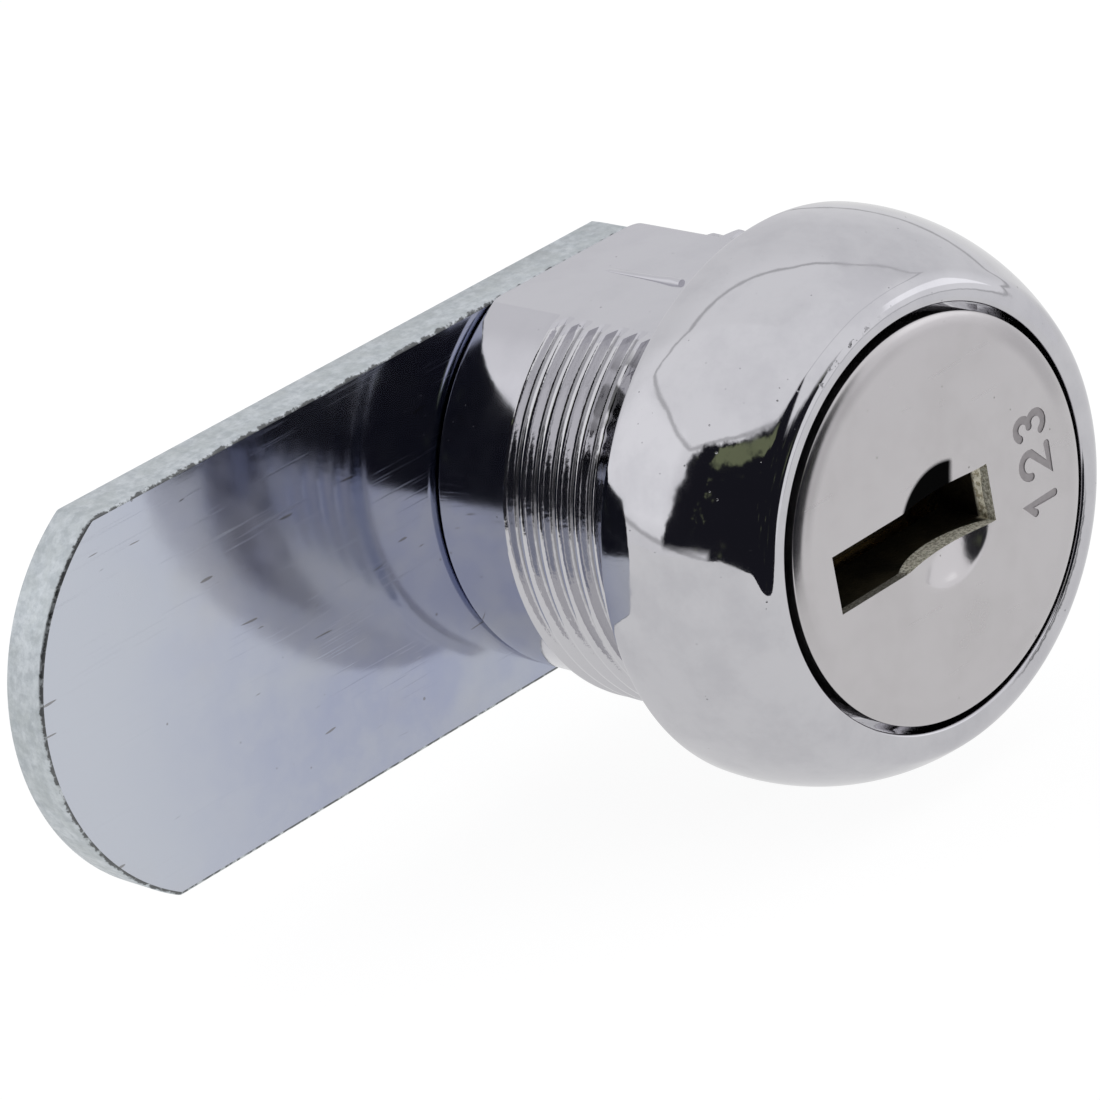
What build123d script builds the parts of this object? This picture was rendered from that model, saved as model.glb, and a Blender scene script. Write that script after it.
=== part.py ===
from build123d import *
from math import cos, radians, sin, sqrt
import os

# A cam lock in millimetres. The lock turns about Y, its face looks along -Y, the cam points
# along -X at rest and +Z is up. The origin is the centre of the back of the head, which seats
# on the front of the panel. Stations are places along Y. Angles called clock angles start at
# +Z and run clockwise as seen from the face, which is the way the key turns.

# Running and assembly clearances
plug_clearance = 0.05        # radial, between the plug and the housing bore
slot_clearance = 0.05        # each side of a wafer in its slot in the plug
axial_clearance = 0.05       # behind the plug's flange
cap_fit = 0.02               # between the cap and the plug's flange
cap_gap = 0.25               # the dark ring between the cap and the head
stop_clearance = 0.1         # around the stop washer in its recess
stop_angle_clearance = 0.5   # degrees, between the stop washer's tab and each end of its path
square_clearance = 0.05      # each side of the plug's square stud
cam_gap = 0.1                # between the back of the body and the cam
thread_clearance = 0.05      # radial, around the plain shank that stands for the screw's thread
screw_end_clearance = 0.25

# Plug
plug_radius = 6.5
plug_skin = 0.3              # left outside each spring pocket
flange_overhang = 1.1        # how far the flange stands out past the bore
flange_thickness = 2.0
plug_web = 0.7               # between the end of the keyway and the screw's hole
keyway_tail = 0.6            # keyway behind the last wafer
stud_inset = 3.0             # from the plug's surface in to each side of the square stud
stud_corner_drop = 1.9       # from the plug's surface in to the stud's turned-down corners
stud_wall = 1.0              # between the square's sides and the screw
stud_recess = 0.2            # how far the stud ends below the back of the cam

# Keyway
keyway_height = 2.38
keyway_wall = 0.57           # between the keyway's left end and the plug's surface
keyway_far_wall = 3.63       # between the keyway's right end and the plug's surface
keyway_drop = 0.09           # the keyway's middle lies this far below the axis

# Wafers and their springs
wafer_count = 7
wafer_thickness = 1.0
wafer_pitch = 1.6
wafer_travel = 0.8
wafer_end_gap = 0.15         # how far a drawn wafer lies inside the plug's surface
first_wafer_gap = 0.57       # plug left between the flange and the first slot
wafer_ear_height = 1.2
wafer_ear_length = 1.6
wafer_ear_start = 0.4        # the side of the ear that the spring pushes on
wafer_window_height = 2.8
wafer_window_land = 0.9      # from the keyway's left end to the window's, on the lowest step
wafer_window_short = 1.8     # how much shorter the window is than the keyway
wafer_step = 0.35            # one step of the key's cuts
wafer_steps = (1, 3, 0, 2, 1, 3, 2)
spring_seat_inset = 3.3      # from the plug's surface in to the pocket wall behind the spring
spring_wire_radius = 0.09
spring_wire_sides = 12
spring_side_gap = 0.06       # between a spring and the sides of its pocket
spring_end_gap = 0.05
spring_turns = 6

# Face cap, a pressed cup of thin sheet over the plug's flange
cap_thickness = 0.4
cap_rim_round = 0.4
face_proud = 0.3             # how far the face stands in front of the head's lip
dish_radius = 2.6            # the dish pressed into the face around the keyway
dish_sphere_radius = 4.2
dish_edge_round = 0.25
dish_centre_x = 0.2
dish_centre_z = -0.3
number_height = 1.55
number_width = 0.95
number_spacing = 1.6
number_stroke = 0.27
number_depth = 0.05
number_flag = 0.37           # the sloping stroke at the top of the 1
number_hook = 0.23           # how far the ends of the 3 lie inside its height
number_waist = 0.1           # how far the middle of the 3 lies to the left
number_bow_end = 20.0        # degrees, how far the bow of the 2 runs on below its widest
number_margin = 1.82         # from the cap's edge in to the line that the figures stand on

# Housing
head_height = 6.73           # from the seat to the lip
head_crown_radius = 9.81     # the arc of the head's side
head_widest_at = 0.84        # in front of the seat
lip_width = 1.05             # from the opening to the crown, measured at the lip's plane
lip_outer_round = 0.45
lip_inner_round = 0.12
seat_edge_round = 0.2
seat_groove_depth = 0.4
seat_groove_margin = 0.3     # how far the groove reaches past the thread
channel_depth = 0.9          # the two grooves that the wafers lock into
channel_side_gap = 0.25
body_wall = 1.6              # between a channel and the root of the thread
flat_wall = 1.5              # between the bore and each flat
neck_length = 1.4
neck_relief = 0.15
thread_depth = 0.45
thread_pitch = 1.0
thread_base = 0.94           # width of a thread's foot
thread_top = 0.36            # width of its rounded top
thread_top_round = 0.04
thread_lead_in = 0.4
thread_embed = 0.2           # how far the thread's foot reaches into the body
smooth_tail = 3.95           # the unthreaded stretch behind the thread
tail_round = 0.3
mark_width = 0.25
mark_length = 4.2
mark_height = 0.06
mark_from_tail = 2.4

# Stop washer and the stop cast in the back of the housing
turn_range = 180.0
stop_wall = 0.75             # between the recess and the flats
stop_block_angle = 100.0
stop_thickness = 1.2
stop_hub_drop = 0.6          # how far the washer's round part lies inside the plug's radius

# Cam and its fixing
cam_width = 16.0
cam_thickness = 2.0
cam_reach = 29.6             # from the axis to the tip
cam_tip_extra = 1.4          # the tip's arc is this much larger in radius than half the width
cam_heel_extra = 0.8
cam_corner_round = 0.35
cam_edge_round = 0.15
washer_thickness = 0.6
washer_play = 0.2            # radial, between the lock washer and the screw
washer_ring_width = 1.2
washer_tooth_reach = 1.1
washer_teeth = 10
washer_tooth_thickness = 0.3
washer_tooth_width = 1.15
washer_tooth_tilt = 13.0
screw_length = 6.0
screw_head_across = 8.0
screw_head_height = 3.5
screw_head_dome = 0.6
screw_point = 0.5

# Radii that follow, from the plug inwards
stud_width = 2 * (plug_radius - stud_inset)
stud_corner_radius = plug_radius - stud_corner_drop
screw_radius = stud_width / 2 - stud_wall
washer_inner_radius = screw_radius + washer_play
washer_ring_radius = washer_inner_radius + washer_ring_width
washer_outer_radius = washer_ring_radius + washer_tooth_reach

# Radii that follow, from the plug outwards
bore_radius = plug_radius + plug_clearance
flange_radius = bore_radius + flange_overhang
cap_radius = flange_radius + cap_fit + cap_thickness
opening_radius = cap_radius + cap_gap
channel_radius = bore_radius + channel_depth
root_radius = channel_radius + body_wall
thread_radius = root_radius + thread_depth
neck_radius = root_radius - neck_relief
flat_z = bore_radius + flat_wall
stop_recess_radius = flat_z - stop_wall
stop_hub_radius = plug_radius - stop_hub_drop
head_lip_radius = opening_radius + lip_width
head_arc_rise = head_height - head_widest_at
head_arc_centre = head_lip_radius - sqrt(head_crown_radius**2 - head_arc_rise**2)
head_radius = head_arc_centre + head_crown_radius
seat_radius = head_arc_centre + sqrt(head_crown_radius**2 - head_widest_at**2)

# Stations that follow, from the face to the back
lip_y = -head_height
face_y = lip_y - face_proud
flange_front_y = face_y + cap_thickness
flange_back_y = flange_front_y + flange_thickness
ledge_y = flange_back_y + axial_clearance
slot_thickness = wafer_thickness + slot_clearance
first_wafer_y = flange_back_y + first_wafer_gap + slot_thickness / 2
last_wafer_y = first_wafer_y + (wafer_count - 1) * wafer_pitch
channel_end_y = last_wafer_y + wafer_pitch
keyway_end_y = last_wafer_y + slot_thickness / 2 + keyway_tail
screw_hole_y = keyway_end_y + plug_web
screw_tip_y = screw_hole_y + screw_end_clearance
washer_back_y = screw_tip_y + screw_length
cam_back_y = washer_back_y - washer_thickness
cam_front_y = cam_back_y - cam_thickness
stud_end_y = cam_back_y - stud_recess
body_end_y = cam_front_y - cam_gap
stop_front_y = cam_front_y - stop_thickness
recess_floor_y = stop_front_y - stop_clearance
thread_end_y = body_end_y - smooth_tail

# Places in the wafer's plane that follow
keyway_left = keyway_wall - plug_radius
keyway_right = plug_radius - keyway_far_wall
keyway_length = keyway_right - keyway_left
spring_seat = plug_radius - spring_seat_inset
wafer_radius = plug_radius - wafer_end_gap
ear_top_z = sqrt((plug_radius - plug_skin) ** 2 - spring_seat**2)
wafer_top_z = ear_top_z - wafer_ear_height
spring_radius = min(slot_thickness, wafer_ear_height) / 2 - spring_side_gap


def front_plane(y):
    """A plane across the axis with X to the right and Z up, whose normal is -Y."""
    return Plane(origin=(0, y, 0), x_dir=(1, 0, 0), z_dir=(0, -1, 0))


def slab(outline, y_front, y_back):
    """A front-view outline extruded between two stations."""
    return extrude(front_plane(y_back) * outline, amount=y_back - y_front)


def rod(radius, y_front, y_back):
    return slab(Circle(radius), y_front, y_back)


def turned(edges):
    """A body of revolution about the lock's axis, from a closed outline of radius and station."""
    return revolve(make_face(edges), Axis.Y)


def clock(angle, radius):
    """The front-view place at a clock angle and a radius."""
    return (radius * sin(radians(angle)), radius * cos(radians(angle)))


def sector(angle_from, angle_to, radius):
    """A wedge of the front view between two clock angles, less than half a turn apart."""
    middle = (angle_from + angle_to) / 2
    reach = radius / cos(radians((angle_to - angle_from) / 2))
    far = clock(middle, 2 * reach)
    return make_face(Polyline((0, 0), clock(angle_from, reach), far, clock(angle_to, reach), close=True))


def rectangle(x_from, x_to, z_from, z_to):
    return Pos((x_from + x_to) / 2, (z_from + z_to) / 2) * Rectangle(x_to - x_from, z_to - z_from)


def keyway_outline():
    top = keyway_height / 2 - keyway_drop
    return rectangle(keyway_left, keyway_right, top - keyway_height, top)


def square_outline(clearance):
    """The plug's square with its corners turned down, larger by a clearance all round."""
    side = stud_width + 2 * clearance
    return Rectangle(side, side) & Circle(stud_corner_radius + clearance)


def dish_ball(grow):
    """The ball whose cap is the dish in the face, larger by a sheet's thickness or a clearance."""
    centre_y = face_y - sqrt(dish_sphere_radius**2 - dish_radius**2)
    return Pos(dish_centre_x, centre_y, dish_centre_z) * Sphere(dish_sphere_radius + grow)


def nearest_vertex(shape, radius, y):
    return shape.vertices().sort_by_distance((radius, y, 0))[0]


def head():
    """The domed head: a crowned side, a narrow lip round the opening and a flat seat."""
    rise_mid = head_arc_rise / 2
    side_mid = (head_arc_centre + sqrt(head_crown_radius**2 - rise_mid**2), -head_widest_at - rise_mid)
    side = ThreePointArc((seat_radius, 0), side_mid, (head_lip_radius, lip_y))
    lip = Line((head_lip_radius, lip_y), (opening_radius, lip_y))
    opening = Polyline((opening_radius, lip_y), (opening_radius, ledge_y), (0, ledge_y), (0, 0))
    seat = Line((0, 0), (seat_radius, 0))
    outline = make_face([side, lip, *opening.edges(), seat])
    outline = fillet(nearest_vertex(outline, head_lip_radius, lip_y), lip_outer_round)
    outline = fillet(nearest_vertex(outline, opening_radius, lip_y), lip_inner_round)
    outline = fillet(nearest_vertex(outline, seat_radius, 0), seat_edge_round)
    return revolve(outline, Axis.Y)


def thread_ridge():
    """One continuous ridge that climbs the body, a turn longer than the thread at both ends."""
    start = neck_length - thread_pitch
    height = thread_end_y - neck_length + 2 * thread_pitch
    path = Helix(thread_pitch, height, root_radius, center=(0, start, 0), direction=(0, 1, 0))
    outwards = Vector((path @ 0).X, 0, (path @ 0).Z).normalized()
    plane = Plane(origin=(0, start, 0), x_dir=outwards, z_dir=outwards.cross(Vector(0, 1, 0)))
    shoulder = thread_radius - thread_top_round
    foot = root_radius - thread_embed
    half_top = thread_top / 2
    half_base = thread_base / 2
    flanks = Polyline((shoulder, -half_top), (foot, -half_base), (foot, half_base), (shoulder, half_top))
    top = ThreePointArc((shoulder, half_top), (thread_radius, 0), (shoulder, -half_top))
    return sweep(plane * make_face([*flanks.edges(), top]), path=path, is_frenet=True)


def thread_room():
    """The ring that the thread fills, sloped at both ends where the thread runs in and out."""
    inner = root_radius - 2 * thread_embed
    outer = thread_radius + thread_embed
    slope = thread_lead_in / thread_depth
    front_y = neck_length + slope * (outer - root_radius)
    back_y = thread_end_y - slope * (outer - root_radius)
    inner_front_y = neck_length - slope * (root_radius - inner)
    inner_back_y = thread_end_y + slope * (root_radius - inner)
    corners = [(inner, inner_front_y), (outer, front_y), (outer, back_y), (inner, inner_back_y)]
    return turned(Polyline(*corners, close=True))


def body_core():
    """The body without its thread: a relieved neck behind the head and a round-edged tail."""
    outline = make_face(
        Polyline(
            (0, 0),
            (neck_radius, 0),
            (neck_radius, neck_length),
            (root_radius, neck_length),
            (root_radius, body_end_y),
            (0, body_end_y),
            close=True,
        )
    )
    outline = fillet(nearest_vertex(outline, root_radius, body_end_y), tail_round)
    return revolve(outline, Axis.Y)


def threaded_body():
    """The round body behind the panel, threaded on its two round sides and flat above and below."""
    solid = body_core() + (thread_ridge() & thread_room())
    flats = Box(2 * head_radius, 4 * body_end_y, 2 * flat_z)
    return solid & flats


def casting_mark():
    """The fine raised line along the top flat."""
    back = body_end_y - mark_from_tail
    middle = (0, back - mark_length / 2, flat_z)
    return Pos(*middle) * Box(mark_width, mark_length, 2 * mark_height)


def wafer_channels():
    """Two grooves on opposite sides of the bore, where drawn-back wafers come out and lock."""
    half = wafer_top_z + channel_side_gap
    strip = rectangle(-channel_radius, channel_radius, -half, half)
    return slab(strip & Circle(channel_radius), ledge_y, channel_end_y)


def stop_recess():
    """The recess for the stop washer, with the stop left standing at the bottom."""
    block = sector(180 - stop_block_angle / 2, 180 + stop_block_angle / 2, stop_recess_radius)
    ring = Circle(stop_recess_radius) - block
    hub = Circle(stop_hub_radius + stop_clearance)
    return slab(ring + hub, recess_floor_y, body_end_y)


def housing():
    solid = head() + threaded_body() + casting_mark()
    groove = Circle(thread_radius + seat_groove_margin) - Circle(neck_radius)
    solid = solid - slab(groove, -seat_groove_depth, 0) - rod(bore_radius, ledge_y, recess_floor_y)
    return solid - wafer_channels() - stop_recess()


def wafer_slot():
    """The front view of one wafer's slot: through the plug, and open to the right of the spring."""
    half = wafer_top_z + slot_clearance
    through = rectangle(-2 * plug_radius, 2 * plug_radius, -half, half)
    pocket = rectangle(-spring_seat, 2 * plug_radius, 0, ear_top_z)
    return through + pocket


def wafer_station(index):
    return first_wafer_y + index * wafer_pitch


def plug():
    """The turning core: a flange behind the cap, the slotted shank and a square stud."""
    shank_end_y = recess_floor_y - stop_clearance
    solid = rod(flange_radius, flange_front_y, flange_back_y) + rod(plug_radius, flange_front_y, shank_end_y)
    solid = solid + rod(stop_hub_radius, shank_end_y, stop_front_y)
    solid = solid + slab(square_outline(0), stop_front_y, stud_end_y)
    solid = solid - dish_ball(cap_thickness + cap_fit) - slab(keyway_outline(), flange_front_y, keyway_end_y)
    for index in range(wafer_count):
        middle = wafer_station(index)
        solid = solid - slab(wafer_slot(), middle - slot_thickness / 2, middle + slot_thickness / 2)
    return solid - rod(screw_radius, screw_hole_y, stud_end_y)


def figure_one():
    """The strokes of a 1 on a baseline, as lines in reading order."""
    return [Polyline((-number_flag, number_height - number_flag), (0, number_height), (0, 0))]


def figure_two():
    bow = number_width / 2
    turn = number_height - bow
    end = radians(number_bow_end)
    arc = ThreePointArc((-bow, turn), (0, number_height), (bow * cos(end), turn - bow * sin(end)))
    return [arc, Polyline(arc @ 1, (-bow, 0), (bow, 0))]


def figure_three():
    bow = number_height / 4
    reach = number_width / 2
    waist = (-number_waist, 2 * bow)
    top = (-reach, number_height - number_hook)
    upper = ThreePointArc(top, (reach - number_waist, number_height - bow), waist)
    lower = ThreePointArc(waist, (reach, bow), (-reach, number_hook))
    return [upper, lower]


def key_number():
    """Plain figures cut in the face, read upwards with their tops to the left."""
    figures = (figure_one, figure_two, figure_three)
    marks = []
    for place, figure in enumerate(figures):
        shift = (place - (len(figures) - 1) / 2) * number_spacing
        for line in figure():
            stroke = trace(line, number_stroke)
            marks.append(Location((cap_radius - number_margin, shift, 0), (0, 0, 90)) * stroke)
    return slab(Sketch() + marks, face_y, face_y + number_depth)


def plug_cap():
    """The pressed cap: a flat face with a rolled rim, a dish round the keyway and a short skirt."""
    outside = rod(cap_radius, face_y, flange_back_y)
    rim = outside.edges().group_by(Axis.Y)[0]
    outside = fillet(rim, cap_rim_round)
    inside = rod(flange_radius + cap_fit, flange_front_y, flange_back_y)
    cup = outside - inside
    behind_face = rod(flange_radius, face_y + cap_thickness / 2, flange_back_y)
    cup = cup + (dish_ball(cap_thickness) & behind_face) - dish_ball(0)
    dish_edge = cup.edges().filter_by(GeomType.CIRCLE).sort_by(Axis.Y)
    dish_edge = dish_edge.filter_by(lambda edge: abs(edge.radius - dish_radius) < cap_fit)
    cup = fillet(dish_edge, dish_edge_round)
    return cup - slab(keyway_outline(), face_y, flange_back_y) - key_number()


def wafer(index):
    """One brass wafer: round ends, a window that rides the key and an ear for its spring."""
    plate = Circle(wafer_radius) & rectangle(-wafer_radius, wafer_radius, -wafer_top_z, wafer_top_z)
    ear_end = wafer_ear_start + wafer_ear_length
    ear = rectangle(wafer_ear_start, ear_end, wafer_top_z / 2, ear_top_z - slot_clearance)
    left = keyway_left + wafer_window_land + wafer_steps[index % len(wafer_steps)] * wafer_step
    right = left + keyway_length - wafer_window_short
    half = wafer_window_height / 2
    window = rectangle(left, right, -keyway_drop - half, -keyway_drop + half)
    middle = wafer_station(index)
    return slab(plate + ear - window, middle - wafer_thickness / 2, middle + wafer_thickness / 2)


def wafer_spring(index):
    """The coil that pushes a wafer's ear to the right, from the pocket's wall."""
    start = -spring_seat + spring_end_gap + spring_wire_radius
    length = wafer_ear_start - spring_end_gap - spring_wire_radius - start
    coil_radius = spring_radius - spring_wire_radius
    centre = (start, wafer_station(index), (wafer_top_z + ear_top_z) / 2)
    path = Helix(length / spring_turns, length, coil_radius, center=centre, direction=(1, 0, 0))
    wire = RegularPolygon(spring_wire_radius, spring_wire_sides)
    section = Plane(origin=path @ 0, z_dir=path % 0) * wire
    return sweep(section, path=path, is_frenet=True)


def stop_washer():
    """The washer on the plug's square, whose tab runs between the two faces of the stop."""
    tab_angle = 360 - stop_block_angle - turn_range - 2 * stop_angle_clearance
    tab_radius = stop_recess_radius - stop_clearance
    tab = sector(270 - tab_angle / 2, 270 + tab_angle / 2, flat_z) & Circle(tab_radius)
    outline = Circle(stop_hub_radius) + tab - square_outline(square_clearance)
    return slab(outline, stop_front_y, cam_front_y)


def cam():
    """The flat steel cam: an arc across the tip, straight sides and a heel round the axis."""
    half = cam_width / 2
    tip_radius = half + cam_tip_extra
    heel_radius = half + cam_heel_extra
    tip_corner_x = -cam_reach + tip_radius - sqrt(tip_radius**2 - half**2)
    heel_corner_x = sqrt(heel_radius**2 - half**2)
    outline = make_face(
        [
            Line((heel_corner_x, half), (tip_corner_x, half)),
            ThreePointArc((tip_corner_x, half), (-cam_reach, 0), (tip_corner_x, -half)),
            Line((tip_corner_x, -half), (heel_corner_x, -half)),
            ThreePointArc((heel_corner_x, -half), (heel_radius, 0), (heel_corner_x, half)),
        ]
    )
    tip_corners = outline.vertices().sort_by(Axis.X)[:2]
    outline = fillet(tip_corners, cam_corner_round)
    plate = slab(outline, cam_front_y, cam_back_y)
    front_edges = plate.edges().group_by(Axis.Y)[0]
    plate = fillet(front_edges, cam_edge_round)
    return plate - slab(square_outline(square_clearance), cam_front_y, cam_back_y)


def lock_washer():
    """A toothed washer under the screw's head: a flat ring with twisted teeth round it."""
    middle_y = (cam_back_y + washer_back_y) / 2
    solid = rod(washer_ring_radius, cam_back_y, washer_back_y)
    reach = washer_outer_radius - washer_inner_radius
    middle = (washer_outer_radius + washer_inner_radius) / 2
    blade = Rot(washer_tooth_tilt, 0, 0) * Box(reach, washer_tooth_thickness, washer_tooth_width)
    for tooth in range(washer_teeth):
        turn = tooth * 360 / washer_teeth
        solid = solid + Pos(0, middle_y, 0) * Rot(0, turn, 0) * Pos(middle, 0, 0) * blade
    return solid - rod(washer_inner_radius, cam_back_y - cam_thickness, washer_back_y + washer_thickness)


def cam_screw():
    """The hexagon-headed screw that holds the cam on the stud; its shank is plain."""
    head_back = washer_back_y + screw_head_height
    hexagon = slab(RegularPolygon(screw_head_across / 2, 6, major_radius=False), washer_back_y, head_back)
    corner = screw_head_across / sqrt(3)
    dome = turned(
        Polyline(
            (0, washer_back_y),
            (corner, washer_back_y),
            (corner, head_back - screw_head_dome),
            (screw_head_across / 2, head_back),
            (0, head_back),
            close=True,
        )
    )
    shank_radius = screw_radius - thread_clearance
    shank = turned(
        Polyline(
            (0, screw_tip_y),
            (shank_radius - screw_point, screw_tip_y),
            (shank_radius, screw_tip_y + screw_point),
            (shank_radius, washer_back_y),
            (0, washer_back_y),
            close=True,
        )
    )
    return (hexagon & dome) + shank


def write(node, shape):
    os.makedirs("parts", exist_ok=True)
    export_step(shape, "parts/" + node + ".step")


write("housing", housing())
write("plug", plug())
write("plug_cap", plug_cap())
write("stop_washer", stop_washer())
write("cam", cam())
write("lock_washer", lock_washer())
write("cam_screw", cam_screw())
for number in range(wafer_count):
    write("wafer_" + str(number + 1), wafer(number))
    write("wafer_spring_" + str(number + 1), wafer_spring(number))
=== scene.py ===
import bmesh
import bpy
from math import asin, atan2, ceil, cos, pi, radians, sin, sqrt, tau
from mathutils import Matrix, Vector


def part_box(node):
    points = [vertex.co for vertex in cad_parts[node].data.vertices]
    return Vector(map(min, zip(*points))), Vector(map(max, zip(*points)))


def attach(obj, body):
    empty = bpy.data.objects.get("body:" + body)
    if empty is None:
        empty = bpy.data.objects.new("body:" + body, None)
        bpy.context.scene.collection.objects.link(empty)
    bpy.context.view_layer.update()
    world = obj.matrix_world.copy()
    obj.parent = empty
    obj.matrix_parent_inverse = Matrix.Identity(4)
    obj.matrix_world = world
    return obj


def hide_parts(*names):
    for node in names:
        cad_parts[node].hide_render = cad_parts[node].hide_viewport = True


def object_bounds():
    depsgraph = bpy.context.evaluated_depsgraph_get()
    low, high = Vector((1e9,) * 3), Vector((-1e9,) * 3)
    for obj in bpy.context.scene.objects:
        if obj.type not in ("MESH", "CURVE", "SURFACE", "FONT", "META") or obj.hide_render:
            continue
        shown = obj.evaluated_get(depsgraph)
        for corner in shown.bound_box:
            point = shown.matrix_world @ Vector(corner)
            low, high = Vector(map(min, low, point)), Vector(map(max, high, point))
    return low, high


# A cam lock: chrome head and body, stainless face, brass plug and wafers, zinc plated cam.
# Lengths are in millimetres until a mesh is made. The lock turns about Y, its face looks along
# -Y and the cam points along -X. Stations are places along Y.

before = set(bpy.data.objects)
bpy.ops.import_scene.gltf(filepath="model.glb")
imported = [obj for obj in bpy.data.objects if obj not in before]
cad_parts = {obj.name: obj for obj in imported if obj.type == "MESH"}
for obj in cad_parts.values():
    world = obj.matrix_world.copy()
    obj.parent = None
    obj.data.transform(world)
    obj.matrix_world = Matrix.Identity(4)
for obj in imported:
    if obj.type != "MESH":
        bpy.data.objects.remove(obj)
cad_low, cad_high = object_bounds()

MM = 0.001
# How far a cutter stands past what it cuts
CUT_PAST = 1.0


def span(node, axis):
    """The lowest and highest place of a CAD node along an axis."""
    low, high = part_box(node)
    return low["XYZ".index(axis)] / MM, high["XYZ".index(axis)] / MM


# Where the photograph was taken from: round from the front, up, and rolled clockwise
CAMERA_AZIMUTH = radians(-40.128)
CAMERA_ELEVATION = radians(23.394)
CAMERA_ROLL = radians(11.782)
CAMERA_PLACE = Vector((-143.221, -154.042, 90.649)) * MM
CAMERA_LENS_MM = 193.30
SENSOR_MM = 36.0

# The table's front edge passes this place, a little askew. The dark room lies beyond it.
TABLE_FRONT = (12.0, -37.0)
TABLE_SKEW = 0.149
TABLE_GAP = 0.02
TABLE_REACH = 1500.0

# Casting
HEAD_RADIUS = span("housing", "X")[1]
LIP_FORWARD = 0.12
LIP_Y, BODY_END_Y = span("housing", "Y")[0] - LIP_FORWARD, span("housing", "Y")[1]
FLAT_Z = 8.05
CROWN_RADIUS = 9.81
CROWN_CENTRE = (HEAD_RADIUS - CROWN_RADIUS, -0.84)
LIP_OUTER_ROUND = 1.0
LIP_INNER_ROUND = 0.12
SEAT_EDGE_ROUND = 0.2
SEAT_GROOVE_DEPTH = 0.4
SEAT_GROOVE_RADIUS = 9.8
CAP_GAP = 0.31
NECK_RADIUS = 8.9
NECK_END_Y = 1.4
ROOT_RADIUS = 9.05
NECK_STEP = 0.15
THREAD_DEPTH = 0.45
THREAD_PITCH = 1.0
THREAD_FOOT = 0.64
THREAD_CREST = 0.12
THREAD_LEAD_IN = 0.4
THREAD_END_Y = 7.49
FLAT_EDGE_ROUND = 0.2
TAIL_ROUND = 0.3
TAIL_Y = BODY_END_Y - 1.0
BORE_RADIUS = 6.55
CHANNEL_RADIUS = 7.45
CHANNEL_HALF_HEIGHT = 4.36
CHANNEL_END_Y = 7.665
RECESS_FLOOR_Y = 10.24
RECESS_RADIUS = 7.3
RECESS_HUB_RADIUS = 6.0
STOP_ANGLE = radians(100)

# Face cap
FACE_Y, FLANGE_BACK_Y = span("plug_cap", "Y")
CAP_RADIUS = span("plug_cap", "X")[1] - 0.06
OPENING_RADIUS = CAP_RADIUS + CAP_GAP
LEDGE_Y = FLANGE_BACK_Y + 0.05
BORE_FRONT_Y = LEDGE_Y - 0.3
CAP_SHEET = 0.4
CAP_RIM_WIDTH = 0.55
CAP_RIM_SLOPE = radians(20)
CAP_EDGE_ROUND = 0.08
DISH_CENTRE = (0.2, -0.3)
# Radius at the face, radius of the sphere and round of the edge, outside and inside the sheet
DISH_OUTSIDE = (2.5, 8.5, 2.0)
DISH_INSIDE = (2.6, 4.2, 0)
KEYWAY = (-5.93, 2.87, -1.28, 1.10)
WORN_END_Y = -6.05
NUMBER_BASE_X = 6.25
NUMBER_HEIGHT = 1.55
NUMBER_WIDTH = 0.95
NUMBER_SPACING = 1.6
NUMBER_STROKE = 0.33
NUMBER_DEPTH = 0.03

# Cam
CAM_FRONT_Y, CAM_BACK_Y = span("cam", "Y")
CAM_TIP_X, CAM_HEEL_X = span("cam", "X")
CAM_HALF_WIDTH = span("cam", "Z")[1]
CAM_TIP_RADIUS = 9.4
CAM_CORNER_ROUND = 0.35
CAM_EDGE_ROUND = 0.15
SQUARE_SIDE = 7.1
SQUARE_CORNER_RADIUS = 4.65

# Lock washer and wafer springs
WASHER_FRONT_Y, WASHER_BACK_Y = span("lock_washer", "Y")
WASHER_BORE_RADIUS = 2.7
WASHER_RING_RADIUS = 3.9
WASHER_OUTER_RADIUS = 5.0
WASHER_TEETH = 10
WASHER_TOOTH_SIZE = (WASHER_OUTER_RADIUS - WASHER_BORE_RADIUS, 0.3, 1.15)
WASHER_TOOTH_TILT = radians(13)
SPRINGS = sorted(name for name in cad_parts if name.startswith("wafer_spring"))
SPRING_WIRE_RADIUS = 0.09
SPRING_TURNS = 6


def make_camera():
    sight = bpy.data.cameras.new("camera")
    sight.lens = CAMERA_LENS_MM
    sight.sensor_width = SENSOR_MM
    sight.clip_start = 0.01
    sight.clip_end = 10.0
    camera = bpy.data.objects.new("camera", sight)
    back = Vector((
        cos(CAMERA_ELEVATION) * sin(CAMERA_AZIMUTH),
        -cos(CAMERA_ELEVATION) * cos(CAMERA_AZIMUTH),
        sin(CAMERA_ELEVATION),
    ))
    right = Vector((0, 0, 1)).cross(back).normalized()
    up = back.cross(right)
    rolled_right = right * cos(CAMERA_ROLL) - up * sin(CAMERA_ROLL)
    rolled_up = right * sin(CAMERA_ROLL) + up * cos(CAMERA_ROLL)
    turn = Matrix((rolled_right, rolled_up, back)).transposed().to_4x4()
    camera.matrix_world = Matrix.Translation(CAMERA_PLACE) @ turn
    bpy.context.scene.collection.objects.link(camera)
    bpy.context.scene.camera = camera


# Mesh helpers. Points are (x, y, z) in millimetres.


def piece(name, points, faces, *materials):
    """A closed mesh piece with its doubles merged and its faces turned outwards."""
    mesh = bpy.data.meshes.new(name)
    mesh.from_pydata([Vector(p) * MM for p in points], [], faces)
    for material in materials:
        mesh.materials.append(material)
    work = bmesh.new()
    work.from_mesh(mesh)
    bmesh.ops.remove_doubles(work, verts=work.verts, dist=0.0005 * MM)
    bmesh.ops.recalc_face_normals(work, faces=work.faces)
    work.to_mesh(mesh)
    work.free()
    made = bpy.data.objects.new(name, mesh)
    bpy.context.scene.collection.objects.link(made)
    return made


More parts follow.
